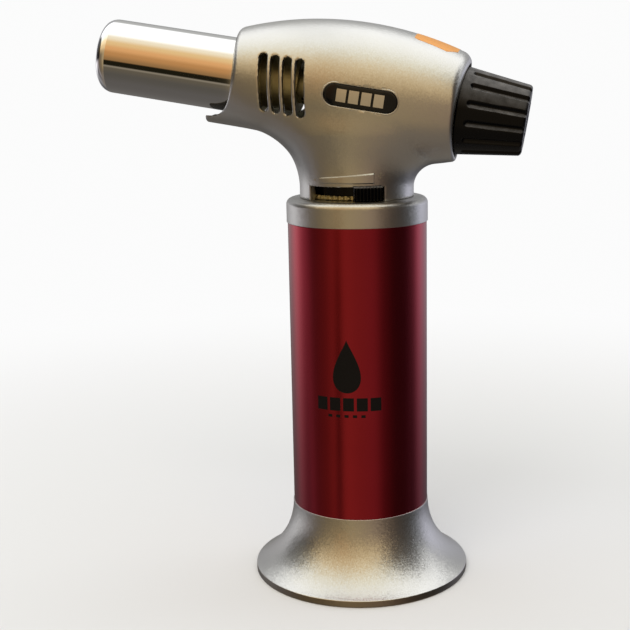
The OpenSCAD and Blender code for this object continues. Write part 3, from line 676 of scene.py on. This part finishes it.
def scale_wedge():
    """The wedge that grows from the low to the high end of the flow scale."""
    u = np.linspace(0, 1, 60)[:, None]
    v = np.linspace(0, 1, 9)[None, :]
    angle = WEDGE_A0 + (WEDGE_A1 - WEDGE_A0) * u + 0 * v
    bottom, top = 117.0 - 0.1 * u, 118.6 + 1.3 * u
    edge = np.minimum(1, 5 * np.minimum(np.minimum(u, 1 - u) * 15, np.minimum(v, 1 - v) * (1 + u)))
    return neck_patch(angle, bottom + (top - bottom) * v, -0.4, 0.15 + 0.4 * np.sqrt(edge))


def bar(angle, z, half_a, half_z):
    u, v = grid(12, 5)
    return neck_patch(angle + half_a * u, z + half_z * v, -0.4, 0.25)


minus, plus = (-37.0, 117.9), (34.0, 119.0)  # middles of the scale's signs
signs = [bar(*minus, 2.4, 0.2), bar(*plus, 2.4, 0.2), bar(*plus, 0.7, 0.7)]
add_piece("flow_scale", *joined(scale_wedge(), *signs), "silver_paint")


# ---- Badges ----
ends = np.radians(np.concatenate([np.linspace(-89.9, 89.9, 40), np.linspace(90.1, 269.9, 40)]))
OUT_S, OUT_H = np.cos(ends), np.sin(ends)  # outward directions along a badge's outline
EDGE_S = (BADGE_L - BADGE_W) / 2 * np.sign(OUT_S) + BADGE_W / 2 * OUT_S
EDGE_H = BADGE_W / 2 * OUT_H


def side_patch(s, h, side, lift):
    """Points on one side of the casing, lift above its skin."""
    return onto_skin(from_head(s, side * SIDE_Y, h), np.array([0, side, 0.0]), lift)


def bezel(side):
    """The seat's rounded edge round a badge."""
    loops = []
    for a in [*np.linspace(0, 2 * math.pi, 13)[:-1], 0.0]:
        grow, lift = 0.34 + 0.28 * math.cos(a), -0.17 + 0.24 * math.sin(a)
        s, h = BADGE_S + EDGE_S + grow * OUT_S, BADGE_H + EDGE_H + grow * OUT_H
        loops.append(side_patch(s, h, side, lift))
    return rings(loops, closed=False)


def badge(side):
    """A badge through loops of (share of the outline, height above the skin)."""
    levels = [(0.5, -0.9), (1.0, -0.9), (1.0, -0.4), (0.995, -0.24), (0.975, -0.14)]
    levels += [(0.94, -0.1), (0.86, -0.08), (0.7, -0.06), (0.45, -0.05), (0.2, -0.05)]
    return rings([side_patch(BADGE_S + k * EDGE_S, BADGE_H + k * EDGE_H, side, lift) for k, lift in levels])


def badge_marks(side):
    """Plain raised blocks where a maker would put a name."""
    u, v = grid(10, 8)
    parts = []
    for k in range(4):
        s, h = BADGE_S + (k - 1.5) * 3.4 + 1.35 * u, BADGE_H + 1.7 * v
        parts.append(slab(side_patch(s, h, side, 0.03), side_patch(s, h, side, -0.3)))
    return joined(*parts)


for name, side in (("badge_left", -1), ("badge_right", 1)):
    add_piece(name + "_face", *badge(side), "black_gloss", [name])
    add_piece(name + "_marks", *badge_marks(side), material=MARK)
    add_piece(name + "_edge", *bezel(side), "silver_paint", crease=180)


# ---- Film on the top ----
def top_film():
    """A thin film on the casing, its corners cut off."""
    places, halves = [15.0, 16.0, 24.4, 27.2], [6.6, 7.2, 7.6, 5.2]  # half widths along the head
    s = np.linspace(places[0], places[-1], 57)[:, None]
    start = from_head(s, np.interp(s, places, halves) * np.linspace(-1, 1, 24)[None, :], 8.0)
    up = np.array([SIN_T, 0, COS_T])
    return slab(onto_skin(start, up, 0.06), onto_skin(start, up, -0.15))


add_piece("top_film", *top_film(), "label", ["top_label"])


# ---- Print on the sleeve ----
def sleeve_patch(across, z, r):
    return around_z(r, across / SLEEVE_R, z)


def sleeve_drop(z0, width, height):
    """A plain drop, as fuel symbols have."""
    t = np.linspace(0, 2 * math.pi, 96, endpoint=False)
    x, z = width * np.sin(t) * np.abs(np.sin(t / 2)) ** 1.4, height * np.cos(t)
    levels = [(1, SLEEVE_R - 0.1)] + [(k, SLEEVE_R + 0.025) for k in (1, 0.75, 0.5, 0.25, 0.02)]
    return rings([sleeve_patch(k * x, z0 + k * z, r) for k, r in levels])


def sleeve_block(x, z, half_x, half_z):
    u, v = grid(10, 4)
    across, up = x + half_x * u, z + half_z * v
    return slab(sleeve_patch(across, up, SLEEVE_R + 0.025), sleeve_patch(across, up, SLEEVE_R - 0.1))


blocks = [sleeve_block(-7.4 + 3.9 * k, 55.6, 1.55, 1.9) for k in range(5)]
dashes = [sleeve_block(-5.0 + 2.4 * k, 52.2, 0.6, 0.4) for k in range(5)]
add_piece("sleeve_print", *joined(sleeve_drop(66.5, 5.6, 7.6), *blocks, *dashes), material=PRINT)


# ---- Flame tube ----
def lip_curve(inset, start, end):
    """(radius, along, 0) corners of the rolled lip's outer or inner face."""
    angles = np.radians(np.linspace(start, end, 21))
    reach, length = TUBE_R - LIP_R - inset, LIP_S - inset
    return [(LIP_R + reach * math.cos(a), TUBE_FRONT + LIP_S + length * math.sin(a), 0) for a in angles]


tube = (
    [(TUBE_R, TUBE_BACK, 0.15)]
    + lip_curve(0, 0, -90)
    + lip_curve(TUBE_WALL, -90, 0)
    + [(TUBE_R - TUBE_WALL, TUBE_BACK, 0.15)]
)
add_piece("flame_pipe", *turned(rounded(tube), head=True), "chrome", ["flame_tube"], crease=40)


# ---- Knob ----
def knob():
    """The fluted knob: loops from the middle of its end face, over the outside, into its hollow."""
    pitch = 2 * math.pi / FLUTES
    groove_w, groove_d = 1.0, 0.85  # half-width and depth of a groove
    groove = np.linspace(-1.25, 1.25, 21) * groove_w / 11
    land = pitch * np.array([0.3, 0.5, 0.7])
    around = np.concatenate([np.append(groove, land) + k * pitch for k in range(FLUTES)])
    off = np.angle(np.exp(1j * FLUTES * around)) / FLUTES  # angle from the nearest groove

    def radius(s, r, cut):
        """Radius of each point of a loop at s, with the grooves cut in by a share."""
        gap = np.hypot(off * r, np.maximum(KNOB_S0 + 3.6 - s, 0)) / groove_w
        return r - cut * groove_d * np.clip(1 - gap**2, 0, 1) ** 1.4

    edge, rear_edge = 0.9, 0.5  # radii of the rounded edges
    slope = (KNOB_R0 - KNOB_R1) / (KNOB_S1 - KNOB_S0)
    loops = []
    rim = radius(KNOB_S1, KNOB_R1 - edge, 0.75)
    for share, dish in ((0.15, 0.5), (0.45, 0.5), (0.62, 0.42), (0.68, 0.12), (0.74, 0.0), (0.97, 0.0)):
        loops.append((KNOB_S1 - dish, rim * share))
    for t in np.linspace(0, math.pi / 2, 8):
        s = KNOB_S1 - edge + edge * math.cos(t)
        rise = (edge + slope * (KNOB_S1 - s)) * math.sin(t)
        loops.append((s, radius(s, KNOB_R1 - edge + rise, 1.0)))
    plain = np.linspace(KNOB_S1 - edge - 0.6, KNOB_S0 + 4.4, 24)
    groove_ends = np.linspace(KNOB_S0 + 4.2, KNOB_S0 + 0.9, 26)
    for s in np.concatenate([plain, groove_ends]):
        loops.append((s, radius(s, KNOB_R1 + slope * (KNOB_S1 - s), 1.0)))
    for t in np.linspace(0, math.pi / 2, 6):
        r = KNOB_R0 - 0.07 - rear_edge * (1 - math.cos(t))
        loops.append((KNOB_S0 + rear_edge * (1 - math.sin(t)), r))
    hub, boss, floor = 4 + FIT, 6.0, KNOB_S1 - 6
    inner = [(KNOB_S0, KNOB_R0 - 1.8), (floor, KNOB_R1 - 1.8), (floor, boss), (KNOB_S0 + 1, boss)]
    inner += [(KNOB_S0 + 1, hub), (KNOB_S1 - 5.4, hub), (KNOB_S1 - 5.4, boss), (KNOB_S1 - 2.5, boss)]
    loops += inner + [(KNOB_S1 - 2.5, 0.5)]
    return rings([from_head(s, r * np.sin(around), r * np.cos(around)) for s, r in loops])


add_piece("knob_cap", *knob(), "black_satin", ["control_knob"], "knob", 38)


# ---- Flow adjuster ----
def toothed_ring():
    """Knurled ring: rounded teeth whose edges are broken above and below."""
    teeth, samples = 48, 12
    around = np.linspace(0, 2 * math.pi, teeth * samples, endpoint=False)
    wave = np.clip(0.5 + 0.9 * np.cos(teeth * around), 0, 1)
    levels = [(HOUSING_R + FIT, RING_Z0, 0), (RING_R - 0.3, RING_Z0, 0), (RING_R, RING_Z0, 0.5)]
    levels += [(RING_R, RING_Z0 + 0.3, 0.8), (RING_R, RING_Z1 - 0.3, 0.8), (RING_R, RING_Z1, 0.5)]
    levels += [(RING_R - 0.3, RING_Z1, 0), (HOUSING_R + FIT, RING_Z1, 0), (HOUSING_R + FIT, RING_Z0, 0)]
    return rings([around_z(r + tooth * wave, around, z) for r, z, tooth in levels], closed=False)


def flow_lever():
    """Plate on the ring, arm through the window and ribbed finger pad."""
    z1, r0, r1 = WINDOW_TOP - 0.3, HOUSING_R + FIT, RING_R - 0.2
    plate = turned(rounded([(r1, RING_Z1, 0.15), (r1, z1, 0.15), (r0, z1, 0), (r0, RING_Z1, 0)]), 224)
    u, v = np.meshgrid(np.linspace(-1, 1, 24), np.linspace(0, 1, 4), indexing="ij")
    a, z = np.radians(PAD_A + (PAD_SPAN / 2 - 2) * u), RING_Z1 + (z1 - RING_Z1) * v
    arm = slab(around_z(NECK_R + 0.4, a, z), around_z(RING_R - 0.6, a, z))
    ribs = 9
    u, v = grid(ribs * 12 + 1, 13)
    a = np.radians(PAD_A + PAD_SPAN / 2 * u)
    mid, half = (COLLAR_TOP + 0.15 + WINDOW_TOP + 0.2) / 2, (WINDOW_TOP + 0.05 - COLLAR_TOP) / 2
    edge = np.clip((1 - np.abs(u)) * 14, 0, 1) * np.clip((1 - np.abs(v)) * 5, 0, 1)
    rib = np.abs(np.cos(np.pi * ribs / 2 * (u + 1))) ** 0.7
    r = NECK_R + 0.55 + np.sqrt(edge) * (0.35 + 0.6 * (1 - rib))
    pad = slab(around_z(r, a, mid + half * v), around_z(NECK_R + 0.15, a, mid + half * v))
    return joined(plate, arm, pad)


add_piece("flow_ring", *toothed_ring(), "brass", ["adjust_ring"], "adjuster", 35)
add_piece("flow_lever", *flow_lever(), "black_satin", ["adjust_lever"], "adjuster", 45)


# ---- Springs ----
def spring(head, r, wire, low, high, turns):
    """A coil spring with closed end turns, along Z or along the head's axis."""
    t = np.linspace(0, turns, 36 * turns + 1)
    climb = np.cumsum(smoothstep(0.4, 1.0, t) * smoothstep(turns - 0.4, turns - 1.0, t))
    spare = high - low - 2 * wire * (turns + 1)
    along = low + wire * (1 + 2 * t) + spare * climb / climb[-1]
    turn, section = 2 * math.pi * t[:, None], np.radians(np.arange(0, 360, 30)) * (1 if head else -1)
    out, up = r + wire * np.cos(section), along[:, None] + wire * np.sin(section)
    across, aside = out * np.cos(turn), out * np.sin(turn)
    return rings(from_head(up, aside, across) if head else np.stack([across, aside, up], -1))


# Along the head or not, radius, wire radius, low and high end, turns; then the end that stays and the travel
for name, shape, stays, joint, travel in (
    ("refill_spring", (False, 1.6, 0.25, 13.35, 16.95, 4), 16.95, "refill_press", 1.2),
    ("valve_spring", (False, 2.15, 0.32, 109.75, 115.95, 5), 115.95, "valve_lift", 1.3),
    ("knob_spring", (True, 4.6, 0.45, 19.1, 25.15, 3), 19.1, "knob_push", 5.0),
):
    coil = add_piece(name + "_coil", *spring(*shape), "steel", [name])
    head, low, high = shape[0], shape[3], shape[4]
    anchor = from_head(stays, 0, 0) if head else np.array([0, 0, stays])
    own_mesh(coil)


# ---- Studio ----
PALE = 0.97  # brightness of the floor's far part and of what the camera sees beyond it
WHITE, BLACK = (1, 1, 1), (0, 0, 0)
world = bpy.data.worlds.new("studio")
bpy.context.scene.world = world
world.use_nodes = True
world.node_tree.nodes.clear()

VIEW_TURN = math.radians(11)  # the camera stands this far round from -Y towards +X
toward = (math.sin(VIEW_TURN), -math.cos(VIEW_TURN), 0)
aside = (math.cos(VIEW_TURN), math.sin(VIEW_TURN), 0)
gaze = node(world, "ShaderNodeTexCoord").outputs["Generated"]  # the direction that a ray leaves in


def w_math(operation, a, b):
    return maths(world, operation, a, b)


def w_part(direction):
    """How much of a ray's direction points along another one."""
    return vector(world, "DOT_PRODUCT", gaze, direction, "Value")


def w_ramp(factor, stops):
    """A colour ramp over degrees from -180 to 180."""
    n = node(world, "ShaderNodeValToRGB", factor)
    ramp = n.color_ramp
    ramp.interpolation = "EASE"
    while len(ramp.elements) < len(stops):
        ramp.elements.new(0.5)
    for element, (degrees, color) in zip(ramp.elements, stops):
        element.position = (degrees + 180) / 360
        element.color = (*color, 1)
    return n.outputs["Color"]


def w_turn(a, b):
    """The angle of a over b as 0..1 for a ramp."""
    return w_math("ADD", w_math("DIVIDE", w_math("ARCTAN2", a, b), 2 * math.pi), 0.5)


def w_rise(value, low, high):
    """0 at low, 1 at high, smoothly."""
    return span(world, value, low, high, kind="SMOOTHSTEP")


to_front, to_side, upward = w_part(toward), w_part(aside), w_part((0, 0, 1))

# Angles round the head's axis: 0 towards the viewer, 90 overhead, 180 behind, -90 below
spin = w_turn(w_part((SIN_T, 0, COS_T)), w_part((0, -1, 0)))
over = w_ramp(
    spin,
    [
        (-180, (0.25, 0.24, 0.22)),
        (-90, (0.2, 0.17, 0.14)),
        (-58, (0.22, 0.18, 0.14)),
        (-22, (0.27, 0.205, 0.12)),
        (-5, (0.32, 0.23, 0.115)),
        (12, (0.52, 0.36, 0.18)),
        (29, (0.85, 0.61, 0.32)),
        (47, (1.12, 0.87, 0.52)),
        (66, (1.3, 1.24, 1.0)),
        (88, (1.55, 1.53, 1.45)),
        (125, (1.7, 1.7, 1.7)),
        (142, (0.45, 0.45, 0.45)),
        (180, (0.3, 0.3, 0.31)),
    ],
)
mirrored = w_ramp(  # what the flame tube shows
    spin,
    [
        (-180, (0.16, 0.15, 0.14)),
        (-90, (0.11, 0.1, 0.09)),
        (-57, (0.095, 0.085, 0.07)),
        (-37, (0.12, 0.1, 0.07)),
        (-31, (0.26, 0.22, 0.16)),
        (-27, (0.012, 0.01, 0.005)),
        (-15, (0.012, 0.01, 0.005)),
        (-11, (0.3, 0.16, 0.06)),
        (9, (0.52, 0.25, 0.085)),
        (25, (0.76, 0.39, 0.15)),
        (42, (0.82, 0.55, 0.25)),
        (60, (0.95, 0.83, 0.6)),
        (76, (1.3, 1.3, 1.25)),
        (126, (1.3, 1.3, 1.28)),
        (137, (0.5, 0.5, 0.48)),
        (180, (0.3, 0.3, 0.3)),
    ],
)
# Angles round the horizon: 0 towards the viewer, 90 to the right
horizon = w_turn(to_side, to_front)
sides = w_ramp(
    horizon,
    [
        (-180, (0.2, 0.2, 0.2)),
        (-147, (0.42, 0.41, 0.42)),
        (-122, (1.0, 0.98, 1.0)),
        (-98, (0.45, 0.41, 0.42)),
        (-79, (0.15, 0.12, 0.09)),
        (-60, (0.19, 0.14, 0.08)),
        (-42, (0.38, 0.28, 0.15)),
        (-22, (0.46, 0.35, 0.19)),
        (0, (0.38, 0.28, 0.165)),
        (23, (0.35, 0.25, 0.18)),
        (42, (0.12, 0.08, 0.06)),
        (62, (0.045, 0.036, 0.03)),
        (84, (0.045, 0.04, 0.038)),
        (100, (0.16, 0.17, 0.18)),
        (122, (0.75, 0.75, 0.88)),
        (147, (0.45, 0.45, 0.5)),
        (180, (0.2, 0.2, 0.2)),
    ],
)
tall = w_ramp(  # where the things round the horizon reach up high
    horizon,
    [(-180, BLACK), (28, BLACK), (42, WHITE), (88, WHITE), (108, BLACK), (180, BLACK)],
)
height = w_math(
    "ADD",
    w_math("MULTIPLY", w_rise(upward, 0.85, 0.6), tall),
    w_math("MULTIPLY", w_rise(upward, 0.35, 0.05), w_math("SUBTRACT", 1.0, tall)),
)
level = w_math("MULTIPLY", height, w_rise(upward, -0.8, -0.5))
# The lights beside and behind the torch fall off downwards
behind, lit = w_rise(to_front, 0.05, -0.15), w_rise(upward, -0.36, -0.08)
gain = w_math("ADD", 1.0, w_math("MULTIPLY", behind, w_math("ADD", -0.72, w_math("MULTIPLY", 0.97, lit))))
# Something dark stands in front of the flame tube
along = w_part((-COS_T, 0, SIN_T))
ahead = w_math("MULTIPLY", w_rise(along, 0.86, 0.92), w_rise(upward, -0.1, 0.04))
shade = w_math("SUBTRACT", 1.0, w_math("MULTIPLY", 0.93, ahead))
# The directions that the side of the flame tube mirrors
panel = w_math("MULTIPLY", w_rise(along, 0.262, 0.274), w_rise(along, 0.43, 0.4))
room = scaled(world, mixed(world, level, over, scaled(world, sides, gain)), shade)
studio = node(world, "ShaderNodeBackground", mixed(world, panel, room, mirrored))
seen = node(world, "ShaderNodeBackground", (PALE, PALE, PALE, 1))
camera_ray = node(world, "ShaderNodeLightPath").outputs["Is Camera Ray"]
which = node(world, "ShaderNodeMixShader", camera_ray, studio.outputs[0], seen.outputs[0])
node(world, "ShaderNodeOutputWorld", Surface=which.outputs[0])


def floor_material():
    """Pale matt floor that fades into the backdrop's brightness far out and is clear from below."""
    mat, shader = new_material("floor", (0.68, 0.71, 0.76), 0.0, 0.9)
    away = vector(mat, "LENGTH", coordinates(mat), output="Value")
    fade = span(mat, away, 0.07, 0.4, kind="SMOOTHSTEP")
    glow = node(mat, "ShaderNodeEmission", (PALE, PALE, PALE, 1))
    far = node(mat, "ShaderNodeMixShader", fade, shader.outputs[0], glow.outputs[0])
    from_below = node(mat, "ShaderNodeNewGeometry").outputs["Backfacing"]
    clear = node(mat, "ShaderNodeBsdfTransparent")
    result = node(mat, "ShaderNodeMixShader", from_below, far.outputs[0], clear.outputs[0])
    feed(mat, mat.node_tree.nodes["Material Output"].inputs["Surface"], result.outputs[0])
    return mat


FLOOR = 3.0  # half the floor's side, in metres
floor_mesh = bpy.data.meshes.new("floor")
corners = [(FLOOR * i, FLOOR * j, 0) for i, j in ((-1, -1), (1, -1), (1, 1), (-1, 1))]
floor_mesh.from_pydata(corners, [], [[0, 1, 2, 3]])
floor_mesh.materials.append(floor_material())
floor = bpy.data.objects.new("floor", floor_mesh)
bpy.context.scene.collection.objects.link(floor)
floor.visible_glossy = False
floor.visible_shadow = False


def area_light(name, turn, height, distance, size, power, color):
    """A soft square light at an angle round from the camera, aimed at the middle of the torch."""
    light = bpy.data.lights.new(name, "AREA")
    light.size, light.energy, light.color = size, power, color
    obj = bpy.data.objects.new(name, light)
    a = VIEW_TURN + math.radians(turn)
    obj.location = (distance * math.sin(a), -distance * math.cos(a), height)
    obj.rotation_euler = (obj.location - Vector((0, 0, 0.09))).to_track_quat("Z", "Y").to_euler()
    bpy.context.scene.collection.objects.link(obj)
    return obj


key = area_light("key_light", -25, 0.75, 0.6, 0.5, 3.0, (1, 0.98, 0.95))
key.visible_glossy = False

# ---- Camera ----
LENS, SENSOR, SHIFT = 67.657, 36.0, -0.03968  # millimetres, and a share of the frame's width
DISTANCE, LEFT, HEIGHT = 0.3397, 0.00539, 0.1468  # the camera's place from the foot, in metres
pitch, roll = math.radians(11.56), math.radians(0.91)
toward, aside, up = np.array(toward), np.array(aside), np.array([0, 0, 1.0])
tilted = math.cos(pitch) * up - math.sin(pitch) * toward
right = math.cos(roll) * aside - math.sin(roll) * tilted
upright = math.sin(roll) * aside + math.cos(roll) * tilted
backward = np.cross(right, upright)
position = DISTANCE * toward - LEFT * aside + HEIGHT * up
camera_data = bpy.data.cameras.new("camera")
camera_data.lens, camera_data.sensor_width, camera_data.shift_x = LENS, SENSOR, SHIFT
camera_data.clip_start, camera_data.clip_end = 0.01, 20
camera = bpy.data.objects.new("camera", camera_data)
rotation = Matrix([[*row] for row in np.stack([right, upright, backward], 1)])
camera.matrix_world = Matrix.Translation(position) @ rotation.to_4x4()
bpy.context.scene.collection.objects.link(camera)
bpy.context.scene.camera = camera
bpy.context.scene.view_settings.view_transform = "Standard"

bpy.context.view_layer.update()
